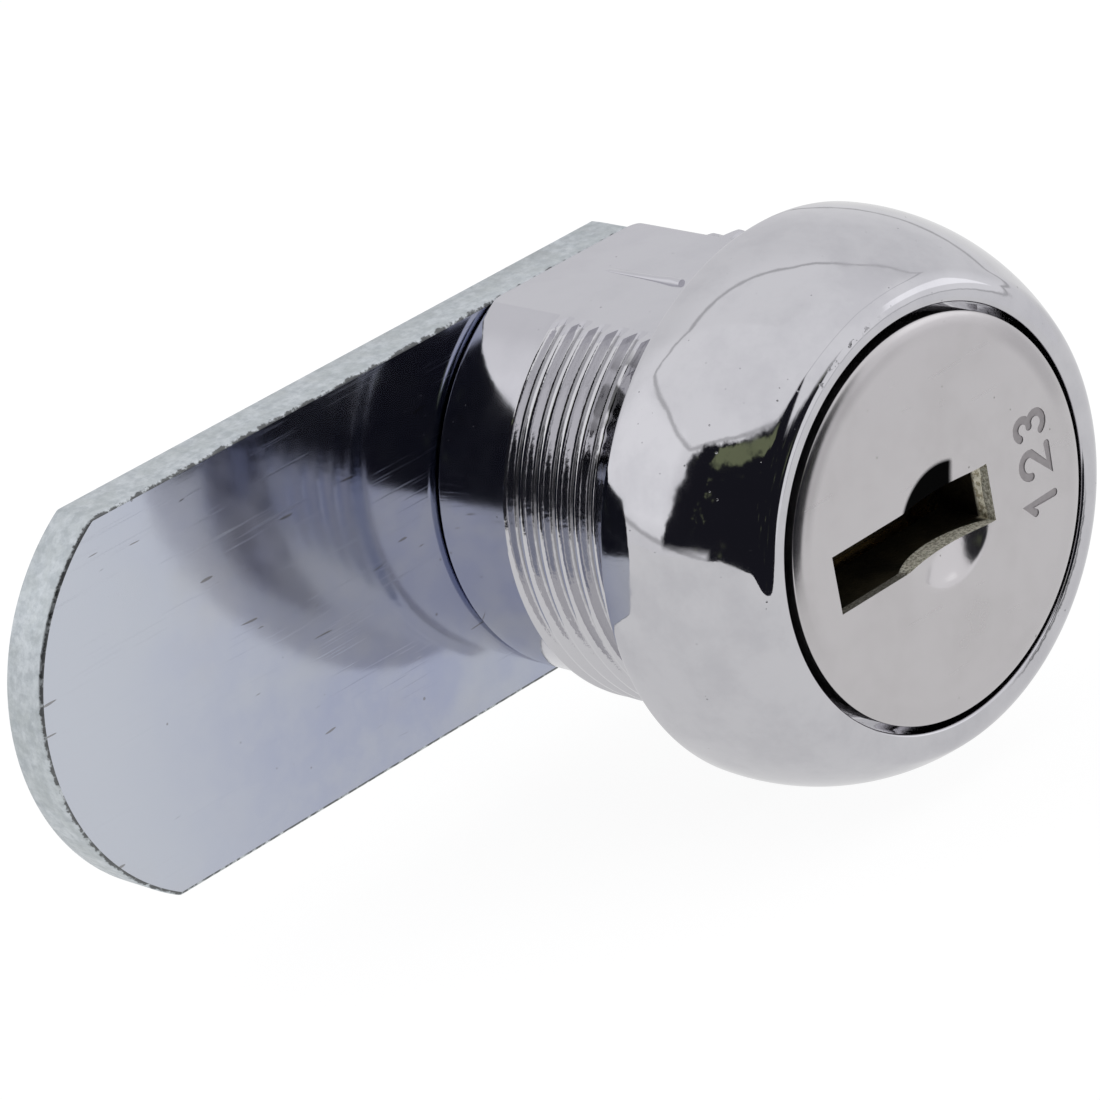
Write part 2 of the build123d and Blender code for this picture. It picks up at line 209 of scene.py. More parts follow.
def arc(centre, radius, start, end, steps):
    """Points along an arc between two angles, both ends included."""
    angles = [start + (end - start) * k / steps for k in range(steps + 1)]
    return [(centre[0] + radius * cos(a), centre[1] + radius * sin(a)) for a in angles]


def clock_arc(radius, start, end, steps):
    """Front-view points (x, z) between two clock angles, which start at +Z and run clockwise."""
    angles = [start + (end - start) * k / steps for k in range(steps + 1)]
    return [(radius * sin(a), radius * cos(a)) for a in angles]


def rings_piece(name, rings, segments, *materials):
    """A solid of round rings about Y, each (centre, radius, station). The end rings have no size."""
    points, faces = [], []
    for (x, z), radius, y in rings:
        angles = [tau * k / segments for k in range(segments)]
        points += [(x + radius * sin(a), y, z + radius * cos(a)) for a in angles]
    for start in range(0, (len(rings) - 1) * segments, segments):
        for k in range(segments):
            a, b = start + k, start + (k + 1) % segments
            faces.append((a, b, b + segments, a + segments))
    return piece(name, points, faces, *materials)


def turned(name, outline, segments, *materials):
    """A solid of revolution about Y from an outline of (radius, station) that starts and ends on it."""
    return rings_piece(name, [((0, 0), r, y) for r, y in outline], segments, *materials)


def prism(name, outline, front, back, *materials):
    """A front-view outline of (x, z) extruded between two stations."""
    size = len(outline)
    points = [(x, y, z) for y in (front, back) for x, z in outline]
    faces = [tuple(range(size)), tuple(range(size, 2 * size))]
    faces += [(j, (j + 1) % size, size + (j + 1) % size, size + j) for j in range(size)]
    return piece(name, points, faces, *materials)


def combine(target, operation, *tools):
    """Unite or cut a piece with others, which are used up. Cut walls keep the tool's material."""
    for tool in tools:
        step = target.modifiers.new("combine", "BOOLEAN")
        step.operation = operation
        step.solver = "EXACT"
        step.material_mode = "TRANSFER"
        step.object = tool
        settle(target)
        bpy.data.objects.remove(tool)
    return target


def settle(target):
    """Turn the result of a piece's modifiers into its plain mesh."""
    graph = bpy.context.evaluated_depsgraph_get()
    mesh = bpy.data.meshes.new_from_object(target.evaluated_get(graph))
    target.modifiers.clear()
    target.data = mesh


def smooth(target, sharp_angle=30, flat_corners=12):
    """Smooth shading, with edges over an angle and the borders of large flats kept sharp."""
    target.data.shade_smooth()
    target.data.set_sharp_from_angle(angle=radians(sharp_angle))
    borders = {key for face in target.data.polygons if len(face.vertices) > flat_corners
               for key in face.edge_keys}
    for edge in target.data.edges:
        if edge.key in borders:
            edge.use_edge_sharp = True
    return target


# Node helpers for the geometry, the shaders and the world


class Value:
    """What a node puts out. Arithmetic on it adds Math nodes to its tree."""

    def __init__(self, socket):
        self.socket = socket
        self.tree = socket.id_data

    def __add__(self, other):
        return maths("ADD", self, other)

    def __sub__(self, other):
        return maths("SUBTRACT", self, other)

    def __rsub__(self, other):
        return maths("SUBTRACT", other, self)

    def __mul__(self, other):
        return maths("MULTIPLY", self, other)

    def __truediv__(self, other):
        return maths("DIVIDE", self, other)


def join(value, socket):
    value.tree.links.new(value.socket, socket)


def node(tree, kind, inputs=(), **settings):
    """Add a node, set its options, and give its inputs plain values or other nodes' ones."""
    made = tree.nodes.new(kind)
    for key, value in settings.items():
        setattr(made, key, value)
    for key, value in dict(inputs).items():
        if isinstance(value, Value):
            join(value, made.inputs[key])
        else:
            made.inputs[key].default_value = value
    return made


def result(tree, kind, inputs=(), output=0, **settings):
    """Add a node and give what it puts out."""
    return Value(node(tree, kind, inputs, **settings).outputs[output])


def maths(operation, *values):
    tree = next(value.tree for value in values if isinstance(value, Value))
    return result(tree, "ShaderNodeMath", dict(enumerate(values)), operation=operation)


def axes(place):
    return [Value(socket) for socket in node(place.tree, "ShaderNodeSeparateXYZ", {0: place}).outputs]


def vector(tree, **parts):
    return result(tree, "ShaderNodeCombineXYZ", parts)


def ramp(value, low, high, start=0.0, end=1.0):
    """A smooth step from one value to another as the input goes from low to high."""
    inputs = {"Value": value, "From Min": low, "From Max": high, "To Min": start, "To Max": end}
    return result(value.tree, "ShaderNodeMapRange", inputs, "Result", interpolation_type="SMOOTHSTEP")


def between(value, low, high, soft):
    """A mask that is one where the value lies between two others, with soft ends."""
    return ramp(value, low - soft, low + soft) * ramp(value, high - soft, high + soft, 1.0, 0.0)


def draw_curve(made, points):
    """Lay a curve node's line through points."""
    curve = made.mapping.curves[0]
    for place, point in enumerate(points):
        if place < 2:
            curve.points[-place].location = point
        else:
            curve.points.new(*point)
    made.mapping.update()


def blend(share, first, second):
    """A mix of two colours, each red, green and blue or what a node puts out."""
    first, second = (c if isinstance(c, Value) else (*c, 1) for c in (first, second))
    return result(share.tree, "ShaderNodeMix", {0: share, 6: first, 7: second}, 2, data_type="RGBA")


def noise(place, scale, detail=2.0, roughness=0.5):
    inputs = {"Vector": place, "Scale": scale, "Detail": detail, "Roughness": roughness}
    return result(place.tree, "ShaderNodeTexNoise", inputs, "Fac")


def stretched(place, scale, turn=(0, 0, 0)):
    """A place turned and scaled, so that a pattern runs in one direction."""
    return result(place.tree, "ShaderNodeMapping", {"Vector": place, "Scale": scale, "Rotation": turn})


def scaled(place, factor):
    """A vector or a colour times a factor."""
    return result(factor.tree, "ShaderNodeVectorMath", {0: place, "Scale": factor}, operation="SCALE")


def own_inputs(group):
    """A function that gives a group's own inputs by name."""
    entry = group.nodes.new("NodeGroupInput")
    return lambda name: Value(entry.outputs[name])


# Geometry trees. Their lengths are in metres, as the meshes are.


def geometry_tree(name, inputs):
    """An empty geometry tree with a mesh going in and out and named numbers for its sizes."""
    group = bpy.data.node_groups.new(name, "GeometryNodeTree")
    group.interface.new_socket("Geometry", in_out="INPUT", socket_type="NodeSocketGeometry")
    group.interface.new_socket("Geometry", in_out="OUTPUT", socket_type="NodeSocketGeometry")
    for label in inputs:
        group.interface.new_socket(label, in_out="INPUT", socket_type="NodeSocketFloat")
    return group, own_inputs(group)


def end_tree(group, geometry, material, selection=True):
    """Close a tree with real geometry in its material."""
    real = result(group, "GeometryNodeRealizeInstances", {"Geometry": geometry})
    done = result(group, "GeometryNodeSetMaterial",
                  {"Geometry": real, "Selection": selection, "Material": material})
    join(done, group.nodes.new("NodeGroupOutput").inputs[0])
    return group


def grow(target, group, values):
    """Run a geometry tree on a piece with its sizes, and keep the result as a plain mesh."""
    step = target.modifiers.new(group.name, "NODES")
    step.node_group = group
    for socket in group.interface.items_tree:
        if socket.name in values:
            step[socket.identifier] = float(values[socket.name])
    settle(target)
    return target


# The casting: the domed head and the threaded body with its two flats


def head_outline():
    """Half section of the head, from the axis at its back round the crown to the opening's floor."""
    cx, cy = CROWN_CENTRE
    seat_y = -SEAT_EDGE_ROUND
    seat_x = cx + sqrt((CROWN_RADIUS - SEAT_EDGE_ROUND) ** 2 - (seat_y - cy) ** 2)
    lip_y = LIP_Y + LIP_OUTER_ROUND
    lip_x = cx + sqrt((CROWN_RADIUS - LIP_OUTER_ROUND) ** 2 - (lip_y - cy) ** 2)
    seat_angle = atan2(seat_y - cy, seat_x - cx)
    lip_angle = atan2(lip_y - cy, lip_x - cx)
    inner = (OPENING_RADIUS + LIP_INNER_ROUND, LIP_Y + LIP_INNER_ROUND)
    outline = [(0, -SEAT_GROOVE_DEPTH), (SEAT_GROOVE_RADIUS, -SEAT_GROOVE_DEPTH), (SEAT_GROOVE_RADIUS, 0)]
    outline += arc((seat_x, seat_y), SEAT_EDGE_ROUND, pi / 2, seat_angle, 5)
    outline += arc(CROWN_CENTRE, CROWN_RADIUS, seat_angle, lip_angle, 48)[1:]
    outline += arc((lip_x, lip_y), LIP_OUTER_ROUND, lip_angle, -pi / 2, 8)[1:]
    outline += arc(inner, LIP_INNER_ROUND, -pi / 2, -pi, 4)
    return outline + [(OPENING_RADIUS, LEDGE_Y), (0, LEDGE_Y)]


def thread_tree(plated):
    """Raise a thread on the round sides of a body about Y, which keep their height at the flats."""
    group, given = geometry_tree(
        "thread", ("Pitch", "Depth", "Foot", "Crest", "Start", "End", "Lead in", "Flat edge"))
    x, y, z = axes(result(group, "GeometryNodeInputPosition"))
    turns = maths("ARCTAN2", x, z) / tau
    along = (y - given("Start")) / given("Pitch")
    from_crest = maths("PINGPONG", along - turns, 0.5) * given("Pitch")
    ridge = result(group, "ShaderNodeMapRange", {
        "Value": from_crest, "From Min": given("Foot") * 0.5, "From Max": given("Crest") * 0.5}, "Result")
    profile = node(group, "ShaderNodeFloatCurve", {"Value": ridge})
    draw_curve(profile, ((0, 0), (1, 1), (0.15, 0.09), (0.85, 0.91)))
    to_ends = maths("MINIMUM", y - given("Start"), given("End") - y)
    ends = ramp(to_ends, 0.0, given("Lead in"))
    height = Value(profile.outputs[0]) * ends * given("Depth")
    z_squared = z * z
    raised = maths("SQRT", x * x + z_squared) + height
    reach = maths("SQRT", raised * raised - z_squared)
    offset = vector(group, X=reach * maths("SIGN", x) - x)
    raised_mesh = result(group, "GeometryNodeSetPosition", {"Geometry": given("Geometry"), "Offset": offset})
    inside = maths("GREATER_THAN", to_ends, 0.0)
    on_side = maths("LESS_THAN", maths("ABSOLUTE", z), given("Flat edge"))
    return end_tree(group, raised_mesh, plated, inside * on_side)


def body_radius(y):
    """The body's radius with its narrower neck, without its thread."""
    step = min(max((y - NECK_END_Y) / NECK_STEP + 1, 0), 1)
    return NECK_RADIUS + (ROOT_RADIUS - NECK_RADIUS) * step


def body_rows():
    """Stations of the body's rows and how far each is turned in at the tail."""
    per_pitch = 28
    dense_from, dense_to = NECK_END_Y - 0.4, THREAD_END_Y + THREAD_PITCH
    count = ceil((dense_to - dense_from) * per_pitch / THREAD_PITCH)
    stations = [-2 * SEAT_GROOVE_DEPTH, 0, 0.2, 0.6]
    stations += [dense_from + THREAD_PITCH * k / per_pitch for k in range(count)]
    stations += [TAIL_Y]
    tail = arc((-TAIL_ROUND, BODY_END_Y - TAIL_ROUND), TAIL_ROUND, 0, pi / 2, 5)
    return [(y, 0) for y in stations] + [(y, -inset) for inset, y in tail]


def body_side(y, turned_in, right, columns=56, corner=6):
    """One row of a round side, from the top flat to the bottom one, with a rounded edge at each.
    The rows lean with the thread, so that its crest runs along them."""
    lean = THREAD_PITCH * min(max(min((y - 0.2) / 0.8, (TAIL_Y - y) / 2), 0), 1)
    points = []
    for k in range(-corner, columns + corner + 1):
        share = min(max(k / columns, 0), 1)
        station = y + lean * (share - 0.5) * 0.35
        radius = body_radius(station) - turned_in
        inset = radius - FLAT_EDGE_ROUND
        height = FLAT_Z - FLAT_EDGE_ROUND
        edge = asin(height / inset)
        if 0 <= k <= columns:
            a = edge * (1 - 2 * share)
            x, z = radius * cos(a), radius * sin(a)
        else:
            beyond = -k if k < 0 else k - columns
            a = edge + (pi / 2 - edge) * beyond / corner
            x = inset * cos(edge) + FLAT_EDGE_ROUND * cos(a)
            z = (height + FLAT_EDGE_ROUND * sin(a)) * (1 if k < 0 else -1)
        points.append((x, station, z) if right else (-x, station, -z))
    return points


def threaded_body(plain, threaded):
    """Two round sides whose rows follow the thread, closed by the two flats and the ends."""
    rows = [body_side(y, inset, True) + body_side(y, inset, False) for y, inset in body_rows()]
    size = len(rows[0])
    half = size // 2
    points = [p for row in rows for p in row]
    faces = []
    for k in range(len(rows) - 1):
        for start in (0, half):
            for j in range(start, start + half - 1):
                a = k * size + j
                faces.append((a, a + 1, a + size + 1, a + size))
    right_side = [k * size for k in range(len(rows))]
    left_side = [k * size + size - 1 for k in range(len(rows))]
    faces.append((*right_side, *reversed(left_side)))
    faces.append((*(i + half - 1 for i in right_side), *(i - half + 1 for i in reversed(left_side))))
    faces.append(tuple(range(size)))
    faces.append(tuple(range(len(points) - size, len(points))))
    made = piece("threaded_body", points, faces, plain)
    flat_edge = FLAT_Z - FLAT_EDGE_ROUND
    return grow(made, thread_tree(threaded), {
        "Pitch": THREAD_PITCH * MM, "Depth": THREAD_DEPTH * MM, "Foot": THREAD_FOOT * MM,
        "Crest": THREAD_CREST * MM, "Start": NECK_END_Y * MM, "End": THREAD_END_Y * MM,
        "Lead in": THREAD_LEAD_IN * MM, "Flat edge": flat_edge * MM})


def casting_mark(material):
    """The fine raised line along the top flat, with sloping ends."""
    width, length, height, sunk = 0.42, 4.2, 0.2, 0.02
    back = BODY_END_Y - 2.4
    ring = arc((0, 0), 1, 0, pi, 8)
    points, faces = [], []
    stations = ((0, 0.8), (0.5, 1), (1.3, 0.7), (length * 0.5, 0.55), (length - 0.25, 0.35), (length, 0.1))
    for along, share in stations:
        for across, up in ring:
            points.append((across * width / 2 * (0.6 + 0.4 * share), back - length + along,
                           FLAT_Z - sunk + up * (height + sunk) * share))
    size = len(ring)
    for k in range(len(stations) - 1):
        for j in range(size):
            a, b = k * size + j, k * size + (j + 1) % size
            faces.append((a, b, b + size, a + size))
    faces += [tuple(range(size)), tuple(range(len(points) - size, len(points)))]
    return piece("casting_mark", points, faces, material)


def stop_recess(material):
    """The room for the stop washer, with the stop left standing at the bottom."""
    stop_from, stop_to = pi - STOP_ANGLE / 2, pi + STOP_ANGLE / 2
    outline = clock_arc(RECESS_RADIUS, stop_to - tau, stop_from, 48)
    outline += clock_arc(RECESS_HUB_RADIUS, stop_from, stop_to, 24)
    return prism("stop_recess", outline, RECESS_FLOOR_Y, BODY_END_Y + CUT_PAST, material)


def wafer_channels(material):
    edge = asin(CHANNEL_HALF_HEIGHT / CHANNEL_RADIUS)
    outline = clock_arc(CHANNEL_RADIUS, pi / 2 - edge, pi / 2 + edge, 16)
    outline += clock_arc(CHANNEL_RADIUS, 1.5 * pi - edge, 1.5 * pi + edge, 16)
    return prism("wafer_channels", outline, BORE_FRONT_Y, CHANNEL_END_Y, material)


def casting(outside, threaded, inside):
    made = turned("housing_casting", head_outline(), 288, outside)
    combine(made, "UNION", threaded_body(outside, threaded), casting_mark(outside))
    bore = turned("bore", [(0, BORE_FRONT_Y), (BORE_RADIUS, BORE_FRONT_Y),
                           (BORE_RADIUS, RECESS_FLOOR_Y + 0.1), (0, RECESS_FLOOR_Y + 0.1)], 128, inside)
    combine(made, "DIFFERENCE", bore, wafer_channels(inside), stop_recess(inside))
    return smooth(made)


# The pressed face cap


def cap_rings(inset):
    """Rings of the cap at a depth under its outside, from the dish over the face to the skirt's end."""
    dish_radius, sphere, edge_round = DISH_INSIDE if inset else DISH_OUTSIDE
    ball = sphere + inset
    ball_y = FACE_Y - sqrt(sphere**2 - dish_radius**2)
    edge_y = FACE_Y + inset + edge_round
    edge_radius = sqrt((ball + edge_round) ** 2 - (edge_y - ball_y) ** 2)
    slope = asin(edge_radius / (ball + edge_round))
    steps = [slope * k / 20 for k in range(21)]
    rings = [(DISH_CENTRE, ball * sin(a), ball_y + ball * cos(a)) for a in steps]
    edge = arc((edge_radius, edge_y), edge_round, -pi / 2 - slope, -pi / 2, 6)
    rings += [(DISH_CENTRE, r, y) for r, y in edge[1:]]
    flat = CAP_RADIUS - CAP_RIM_WIDTH
    for k in range(1, 12):
        share = k / 12
        centre = (DISH_CENTRE[0] * (1 - share), DISH_CENTRE[1] * (1 - share))
        rings.append((centre, edge_radius + (flat - edge_radius) * share, FACE_Y + inset))
    edge_round = max(CAP_EDGE_ROUND - inset, 0)
    skirt = CAP_RADIUS - inset
    fall = (skirt - edge_round * (1 - sin(CAP_RIM_SLOPE)) - flat) / sin(CAP_RIM_SLOPE)
    rim = arc((flat, FACE_Y + inset + fall), fall, -pi / 2, CAP_RIM_SLOPE - pi / 2, 8)
    edge_y = rim[-1][1] + edge_round * cos(CAP_RIM_SLOPE)
    rim += arc((skirt - edge_round, edge_y), edge_round, CAP_RIM_SLOPE - pi / 2, 0, 5)[1:]
    rings += [((0, 0), r, y) for r, y in rim]
    return rings + [((0, 0), skirt, FLANGE_BACK_Y)]


def cap_shell(material):
    outside, inside = cap_rings(0), cap_rings(CAP_SHEET)
    return rings_piece("face_cap", outside + inside[::-1], 192, material)


def stroke_outline(line, width):
    """The outline of a line drawn with a round nib."""
    nib = width / 2
    steps = len(line) - 1
    ways = [(Vector(line[k + 1]) - Vector(line[k])).normalized() for k in range(steps)]
    left, right = [], []
    for k, place in enumerate(line):
        before, after = ways[max(k - 1, 0)], ways[min(k, steps - 1)]
        middle = (before + after).normalized()
        side = Vector((-middle.y, middle.x)) * (nib / max(middle.dot(after), 0.5))
        left.append(tuple(Vector(place) + side))
        right.append(tuple(Vector(place) - side))
    start = atan2(*reversed((Vector(left[0]) - Vector(line[0])).to_tuple()))
    end = atan2(*reversed((Vector(right[-1]) - Vector(line[-1])).to_tuple()))
    return (left[1:-1] + arc(line[-1], nib, end + pi, end, 8) + right[-2:0:-1]
            + arc(line[0], nib, start + pi, start, 8))


def figures():
    """The lines of the figures 1, 2 and 3, each on a baseline with its middle at nought."""
    half = NUMBER_WIDTH / 2
    height = NUMBER_HEIGHT
    one = [(-0.37, height - 0.37), (0, height), (0, 0)]
    two = arc((0, height - half), half, pi, radians(-20), 12) + [(-half, 0), (half, 0)]
    bow = height / 4
    upper = arc((-0.06, 3 * bow), bow, radians(150), radians(-90), 12)
    lower = arc((-0.06, bow), bow * 1.08, radians(90), radians(-150), 12)
    return ([one], [two], [upper, lower])


def number_cutters(material):
    """The figures as prisms, read upwards with their tops towards the keyway."""
    cutters = []
    for place, lines in enumerate(figures()):
        shift = (place - 1) * NUMBER_SPACING
        for line in lines:
            stroke = stroke_outline(line, NUMBER_STROKE)
            outline = [(NUMBER_BASE_X - up, shift + along) for along, up in stroke]
            cutters.append(prism("figure", outline, FACE_Y - 0.1, FACE_Y + NUMBER_DEPTH, material))
    return cutters


def face_cap(outside, sheared, stamped):
    left, right, bottom, top = KEYWAY
    slot = [(left, bottom), (right, bottom), (right, top), (left, top)]
    cutter = prism("keyway", slot, FACE_Y - CUT_PAST, LEDGE_Y, sheared)
    made = combine(cap_shell(outside), "DIFFERENCE", cutter, *number_cutters(stamped))
    return smooth(made)


# The cam and its fixing


def cam_outline():
    """Front view of the cam: an arc across the tip, rounded corners, straight sides and a heel."""
    half = CAM_HALF_WIDTH
    heel_edge = asin(half / CAM_HEEL_X)
    tip_centre = CAM_TIP_X + CAM_TIP_RADIUS
    corner_z = half - CAM_CORNER_ROUND
    corner_x = tip_centre - sqrt((CAM_TIP_RADIUS - CAM_CORNER_ROUND) ** 2 - corner_z**2)
    corner_angle = atan2(corner_z, corner_x - tip_centre)
    upper = arc((corner_x, corner_z), CAM_CORNER_ROUND, pi / 2, corner_angle, 6)
    tip = arc((tip_centre, 0), CAM_TIP_RADIUS, corner_angle, tau - corner_angle, 64)
    lower = [(x, -z) for x, z in reversed(upper)]
    heel = arc((0, 0), CAM_HEEL_X, -heel_edge, heel_edge, 48)
    return upper + tip[1:-1] + lower + heel


def square_outline():
    """The square hole with its corners cut back to a circle."""
    half = SQUARE_SIDE / 2
    edge = asin(half / SQUARE_CORNER_RADIUS)
    outline = []
    for side in range(4):
        corner = clock_arc(SQUARE_CORNER_RADIUS, pi / 2 - edge + side * pi / 2, edge + side * pi / 2, 4)
        outline += corner
    return outline


def cam_plate(plated, sheared):
    """The stamped cam. Its front edges are drawn over and its back edges are crisper."""
    made = prism("cam_plate", cam_outline(), CAM_FRONT_Y, CAM_BACK_Y, plated, sheared)
    work = bmesh.new()
    work.from_mesh(made.data)
    for face in work.faces:
        face.material_index = 1 if abs(face.normal.y) < 0.5 else 0
    middle = (CAM_FRONT_Y + CAM_BACK_Y) / 2 * MM
    for rounding, front in ((CAM_EDGE_ROUND, True), (CAM_EDGE_ROUND / 2, False)):
        rim = [edge for edge in work.edges
               if all((v.co.y < middle) == front for v in edge.verts)
               and any(abs(f.normal.y) > 0.9 for f in edge.link_faces)
               and any(abs(f.normal.y) < 0.1 for f in edge.link_faces)]
        bmesh.ops.bevel(work, geom=rim, offset=rounding * MM, segments=4, profile=0.5,
                        affect="EDGES", clamp_overlap=False, material=1)
    work.to_mesh(made.data)
    work.free()
    front, back = CAM_FRONT_Y - CUT_PAST, CAM_BACK_Y + CUT_PAST
    hole = prism("square_hole", square_outline(), front, back, sheared)
    return smooth(combine(made, "DIFFERENCE", hole))


def teeth_tree(material):
    """A ring of equal teeth about Y, each twisted about its own length."""
    group, given = geometry_tree("washer_teeth", ("Count", "Radius", "Reach", "Thickness", "Width", "Tilt"))
    size = vector(group, X=given("Reach"), Y=given("Thickness"), Z=given("Width"))
    tooth = result(group, "GeometryNodeMeshCube", {"Size": size}, "Mesh")
    outwards = vector(group, X=given("Radius"))
    tooth = result(group, "GeometryNodeTransform", {
        "Geometry": tooth, "Translation": outwards, "Rotation": vector(group, X=given("Tilt"))})
    middle = result(group, "GeometryNodeMeshLine", {"Count": given("Count"), "Offset": (0, 0, 0)})
    turn = vector(group, Y=result(group, "GeometryNodeInputIndex") / given("Count") * tau)
    teeth = result(group, "GeometryNodeInstanceOnPoints", {
        "Points": middle, "Instance": tooth, "Rotation": turn})
    return end_tree(group, teeth, material)


def lock_washer(material):
    """The toothed washer under the screw's head."""
    reach, thickness, width = WASHER_TOOTH_SIZE
    middle_y = (WASHER_FRONT_Y + WASHER_BACK_Y) / 2
    made = turned("lock_washer_ring", [
        (0, WASHER_FRONT_Y), (WASHER_RING_RADIUS, WASHER_FRONT_Y),
        (WASHER_RING_RADIUS, WASHER_BACK_Y), (0, WASHER_BACK_Y)], 96, material)
    teeth = grow(piece("washer_teeth", [], [], material), teeth_tree(material), {
        "Count": WASHER_TEETH, "Radius": (WASHER_BORE_RADIUS + WASHER_OUTER_RADIUS) / 2 * MM,
        "Reach": reach * MM, "Thickness": thickness * MM, "Width": width * MM, "Tilt": WASHER_TOOTH_TILT})
    for vertex in teeth.data.vertices:
        vertex.co.y += middle_y * MM
    front, back = WASHER_FRONT_Y - CUT_PAST, WASHER_BACK_Y + CUT_PAST
    bore = turned("washer_bore", [
        (0, front), (WASHER_BORE_RADIUS, front), (WASHER_BORE_RADIUS, back), (0, back)], 96, material)
    combine(made, "UNION", teeth)
    return smooth(combine(made, "DIFFERENCE", bore))


def coils_tree(material):
    """A row of equal coil springs along X, set one pitch apart along Y."""
    group, given = geometry_tree(
        "coil_springs", ("Count", "Pitch", "Turns", "Coil radius", "Wire radius", "Length", "Height"))
    coil = result(group, "GeometryNodeCurveSpiral", {
        "Resolution": 24, "Rotations": given("Turns"), "Start Radius": given("Coil radius"),
        "End Radius": given("Coil radius"), "Height": given("Length")})
    wire = result(group, "GeometryNodeCurvePrimitiveCircle", {
        "Resolution": 10, "Radius": given("Wire radius")})
    coil = result(group, "GeometryNodeCurveToMesh", {
        "Curve": coil, "Profile Curve": wire, "Fill Caps": True})
    shift = vector(group, X=given("Length") * -0.5, Z=given("Height"))
    coil = result(group, "GeometryNodeTransform", {
        "Geometry": coil, "Translation": shift, "Rotation": (0, pi / 2, 0)})
    row = result(group, "GeometryNodeMeshLine", {
        "Count": given("Count"), "Offset": vector(group, Y=given("Pitch"))})
    coils = result(group, "GeometryNodeInstanceOnPoints", {"Points": row, "Instance": coil})
    return end_tree(group, coils, material)


def wafer_springs(material):
    """The seven springs that push the wafers, as one row."""
    low_x, high_x = span(SPRINGS[0], "X")
    low_z, high_z = span(SPRINGS[0], "Z")
    first_y, last_y = (sum(span(name, "Y")) / 2 for name in (SPRINGS[0], SPRINGS[-1]))
    made = grow(piece("wafer_springs", [], [], material), coils_tree(material), {
        "Count": len(SPRINGS), "Pitch": (last_y - first_y) / (len(SPRINGS) - 1) * MM,
        "Turns": SPRING_TURNS, "Coil radius": ((high_z - low_z) / 2 - SPRING_WIRE_RADIUS) * MM,
        "Wire radius": SPRING_WIRE_RADIUS * MM,
        "Length": (high_x - low_x - 2 * SPRING_WIRE_RADIUS) * MM, "Height": (low_z + high_z) / 2 * MM})
    for vertex in made.data.vertices:
        vertex.co.x += (low_x + high_x) / 2 * MM
        vertex.co.y += first_y * MM
    return smooth(made)


# Shared surface effects. Lengths in them are in metres, as Object coordinates are.


def effect(name, **inputs):
    """A shader node group with named inputs that is to put out a mask."""
    group = bpy.data.node_groups.new(name, "ShaderNodeTree")
    for label, value in inputs.items():
        socket = group.interface.new_socket(label, in_out="INPUT", socket_type="NodeSocketFloat")
        socket.default_value = value
    group.interface.new_socket("Mask", in_out="OUTPUT", socket_type="NodeSocketFloat")
    return group, own_inputs(group), result(group, "ShaderNodeTexCoord", output="Object")


def end_effect(group, mask):
    join(mask, group.nodes.new("NodeGroupOutput").inputs["Mask"])
    return group


def scratches_effect():
    """Hair-fine scratches in several directions, as a mask."""
    group, given, place = effect("fine_scratches", Scale=1.0, Density=0.5)
    marks = []
    for turn in ((0.2, 0.9, 0.4), (0.7, 2.1, 1.3), (1.3, 0.3, 2.2)):
        line = stretched(place, (90, 90, 5200), turn)
        streak = noise(scaled(line, given("Scale")), 1.0, 1.0)
        gate = noise(stretched(place, (260, 260, 260), turn), 1.0, 1.0)
        level = 0.86 - given("Density") * 0.22
        marks.append(ramp(streak, level, level + 0.05) * ramp(gate, 0.45, 0.62))
    return end_effect(group, maths("MAXIMUM", maths("MAXIMUM", marks[0], marks[1]), marks[2]))


def specks_effect():
    """Small pits and specks of uneven size, as a mask."""
    group, given, place = effect("specks", Spacing=900.0, Size=0.12)
    warp = noise(place, 2600.0, 1.0)
    cell = node(group, "ShaderNodeTexVoronoi", {"Vector": place, "Scale": given("Spacing")}).outputs
    gate = result(group, "ShaderNodeSeparateColor", {"Color": Value(cell["Color"])})
    size = given("Size") * ramp(gate, 0.62, 1.0)
    distance = Value(cell["Distance"]) + warp * 0.08
    return end_effect(group, ramp(distance - size, 0.06, 0.0))


def mottle_effect():
    """Slow uneven patches from nought to one, as of stain or handling."""
    group, given, place = effect("mottle", Scale=300.0, Low=0.4, High=0.7)
    return end_effect(group, ramp(noise(place, given("Scale"), 4.0, 0.6), given("Low"), given("High")))


EFFECTS = {made.name: made for made in (scratches_effect(), specks_effect(), mottle_effect())}


def use(place, name, **inputs):
    """The mask of a shared effect with a material's own values."""
    return result(place.tree, "ShaderNodeGroup", inputs, "Mask", node_tree=EFFECTS[name])


def metal(name, roughness, **constants):
    """A new metal material. Gives it, its shader and the Object coordinates."""
    material = bpy.data.materials.new(name)
    material.use_nodes = True
    shader = material.node_tree.nodes["Principled BSDF"]
    for label, value in {"Metallic": 1.0, "Roughness": roughness, **constants}.items():
        shader.inputs[label.replace("_", " ")].default_value = value
    return material, shader, result(material.node_tree, "ShaderNodeTexCoord", output="Object")


def bump(shader, *layers):
    """Stack relief layers of (height, depth in millimetres) on the shader's normal."""
    under = {}
    for height, depth in layers:
        inputs = {"Height": height, "Distance": depth * MM, "Strength": 1.0, **under}
        under = {"Normal": result(height.tree, "ShaderNodeBump", inputs)}
    join(under["Normal"], shader.inputs["Normal"])


def finish(shader, colour, roughness):
    join(colour, shader.inputs["Base Color"])
    join(roughness, shader.inputs["Roughness"])


def from_axis(place):
    """Distance from the lock's axis and the station in millimetres, and the clock angle in degrees."""
    x, y, z = axes(place)
    across = vector(place.tree, X=x, Z=z)
    radius = result(place.tree, "ShaderNodeVectorMath", {0: across}, "Value", operation="LENGTH")
    return radius / MM, y / MM, maths("DEGREES", maths("ARCTAN2", x, z))


